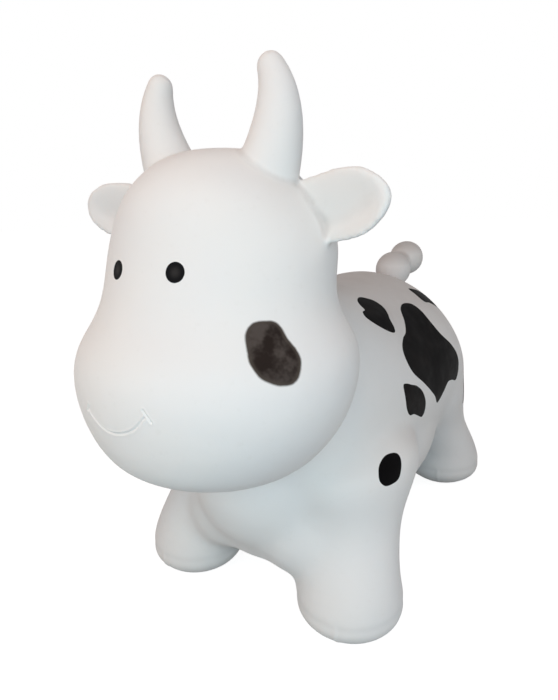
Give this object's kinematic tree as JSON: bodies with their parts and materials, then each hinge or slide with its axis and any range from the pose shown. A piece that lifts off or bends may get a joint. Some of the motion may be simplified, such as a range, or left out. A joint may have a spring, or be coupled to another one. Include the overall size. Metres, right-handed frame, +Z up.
{
  "type": "bouncy ride on animal",
  "caption": "Air-filled soft vinyl cow that a small child sits on and bounces, moulded in one piece, with a pull-out air plug under its belly.",
  "frame": {"origin": "on the floor, under the middle of the cow's bounding box", "axes": "+X to the cow's left, -Y the way the cow faces, +Z up"},
  "size_m": [0.3102, 0.6427, 0.5177],
  "materials": {
    "moulded_body": "satin flexible vinyl",
    "inflation_plug": "satin semi-rigid vinyl"
  },
  "bodies": {
    "cow": {"moulded_body": "moulded_body"},
    "plug": {"inflation_plug": "inflation_plug"}
  },
  "joints": [
    {"name": "plug_pull", "type": "slide", "parent": "cow", "child": "plug", "axis": [0, 0, -1], "range_m": [0, 0.03]}
  ]
}
